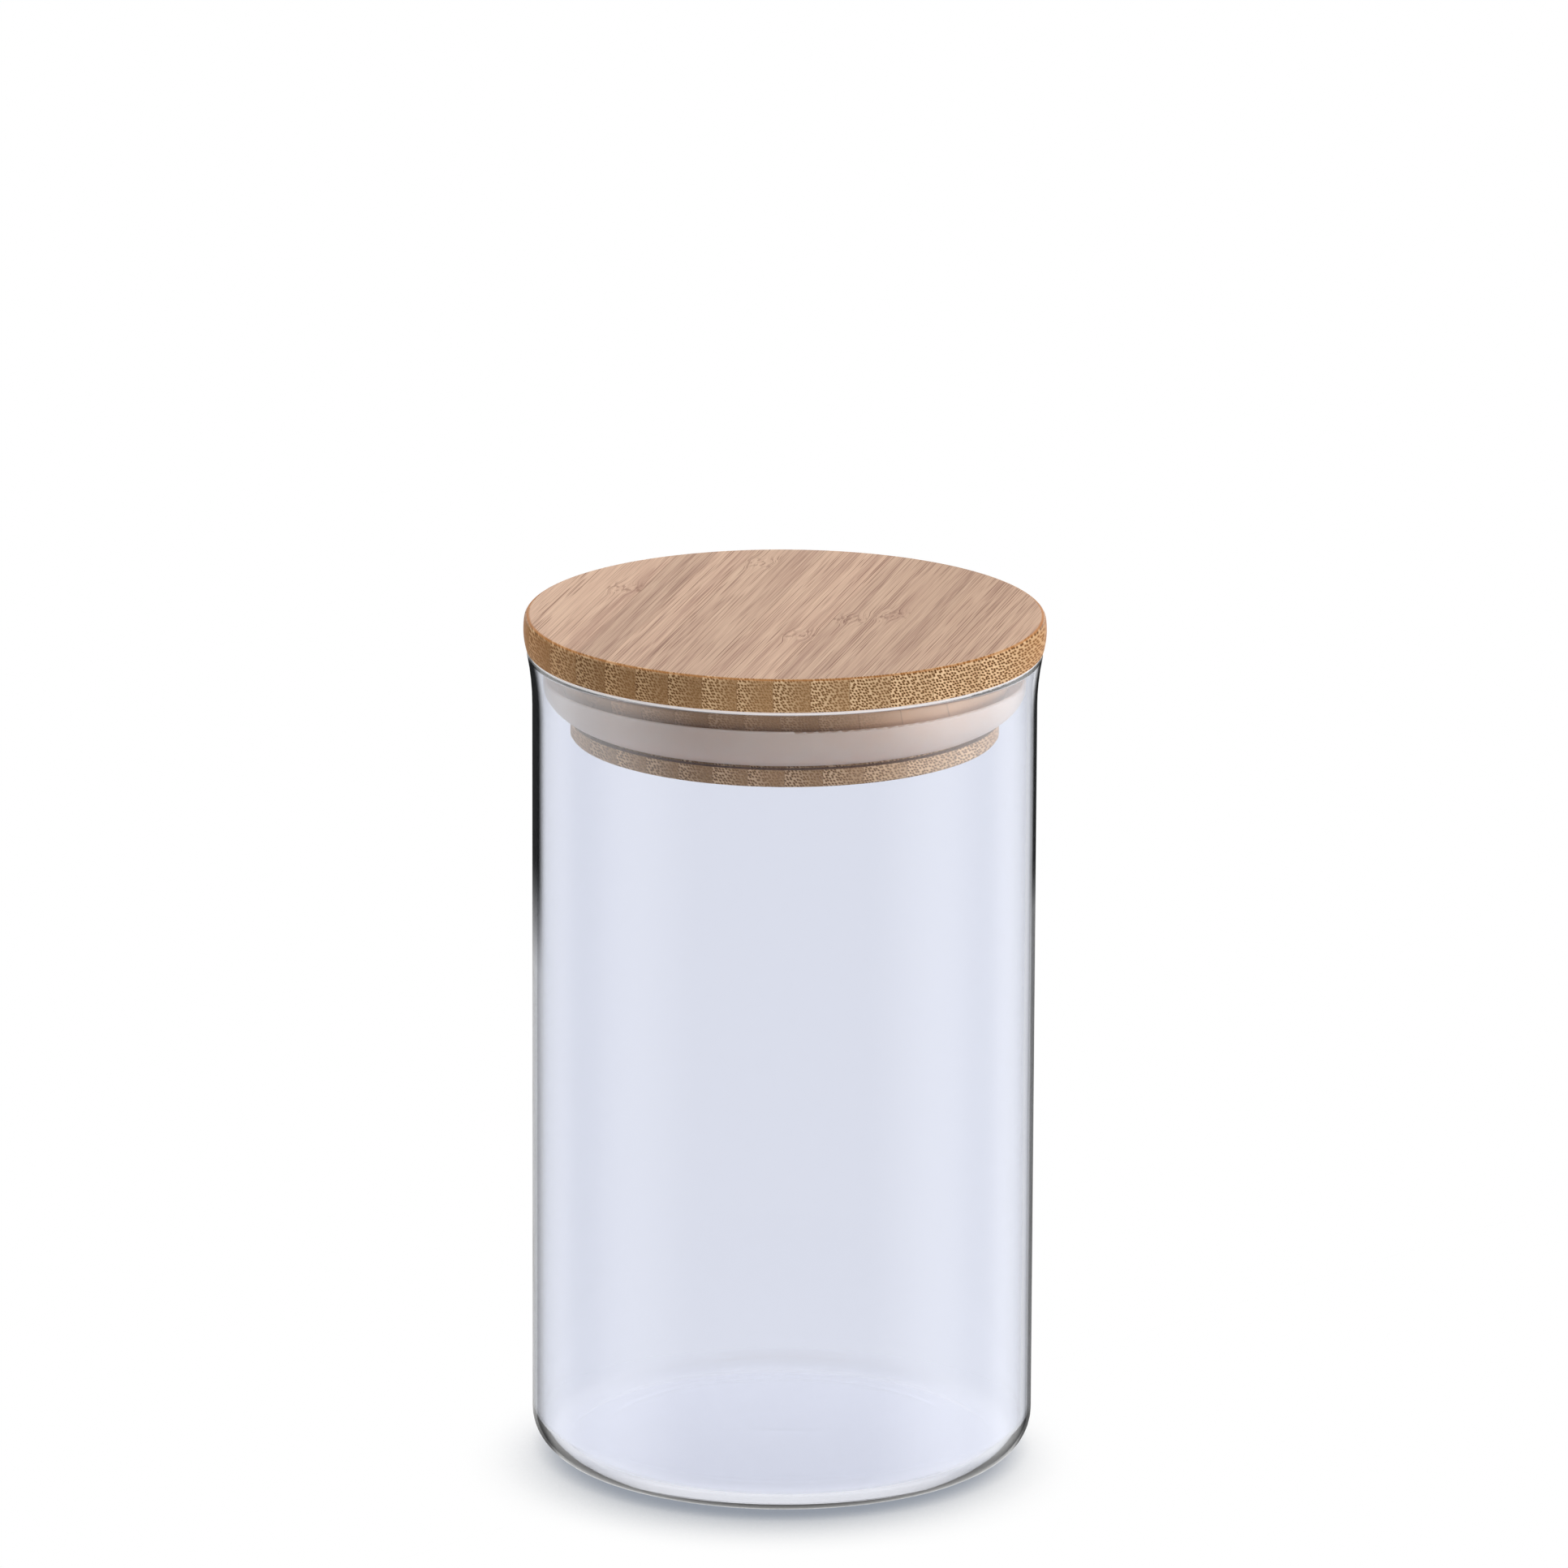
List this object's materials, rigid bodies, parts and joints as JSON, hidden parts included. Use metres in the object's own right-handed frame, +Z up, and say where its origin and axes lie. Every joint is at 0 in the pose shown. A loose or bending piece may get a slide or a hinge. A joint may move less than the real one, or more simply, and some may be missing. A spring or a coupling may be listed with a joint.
{
  "type": "lidded glass canister",
  "caption": "Round clear glass storage jar with a push-in lid of laminated bamboo, sealed by a silicone ring whose lip grips the glass.",
  "frame": {"origin": "centre of the foot, on the surface that the jar stands on", "axes": "+Z up along the jar's axis; -Y is the side that the picture shows; the lid's grain runs 14 degrees from +Y towards +X at rest"},
  "size_m": [0.1034, 0.1034, 0.172],
  "materials": {
    "clear_glass": "clear, smooth blown glass with a fire-polished rim",
    "milky_silicone": "milky translucent silicone, satin",
    "bamboo": "sanded, matt, with fibre streaks on top and fibre dots on the end grain"
  },
  "bodies": {
    "jar": {"glass_jar": "clear_glass"},
    "seal": {"seal_ring": "milky_silicone"},
    "lid": {"lid_stave_01": "bamboo", "lid_stave_02": "bamboo", "lid_stave_03": "bamboo", "lid_stave_04": "bamboo", "lid_stave_05": "bamboo", "lid_stave_06": "bamboo", "lid_stave_07": "bamboo", "lid_stave_08": "bamboo", "lid_stave_09": "bamboo", "lid_stave_10": "bamboo", "lid_stave_11": "bamboo", "lid_stave_12": "bamboo", "lid_stave_13": "bamboo", "lid_stave_14": "bamboo", "lid_stave_15": "bamboo"}
  },
  "joints": [
    {"name": "lid_lift", "type": "slide", "parent": "jar", "child": "seal", "axis": [0, 0, 1], "range_m": [0, 0.04]},
    {"name": "lid_turn", "type": "hinge", "parent": "seal", "child": "lid", "pos_m": [0, 0, 0.16], "axis": [0, 0, 1], "continuous": true}
  ]
}
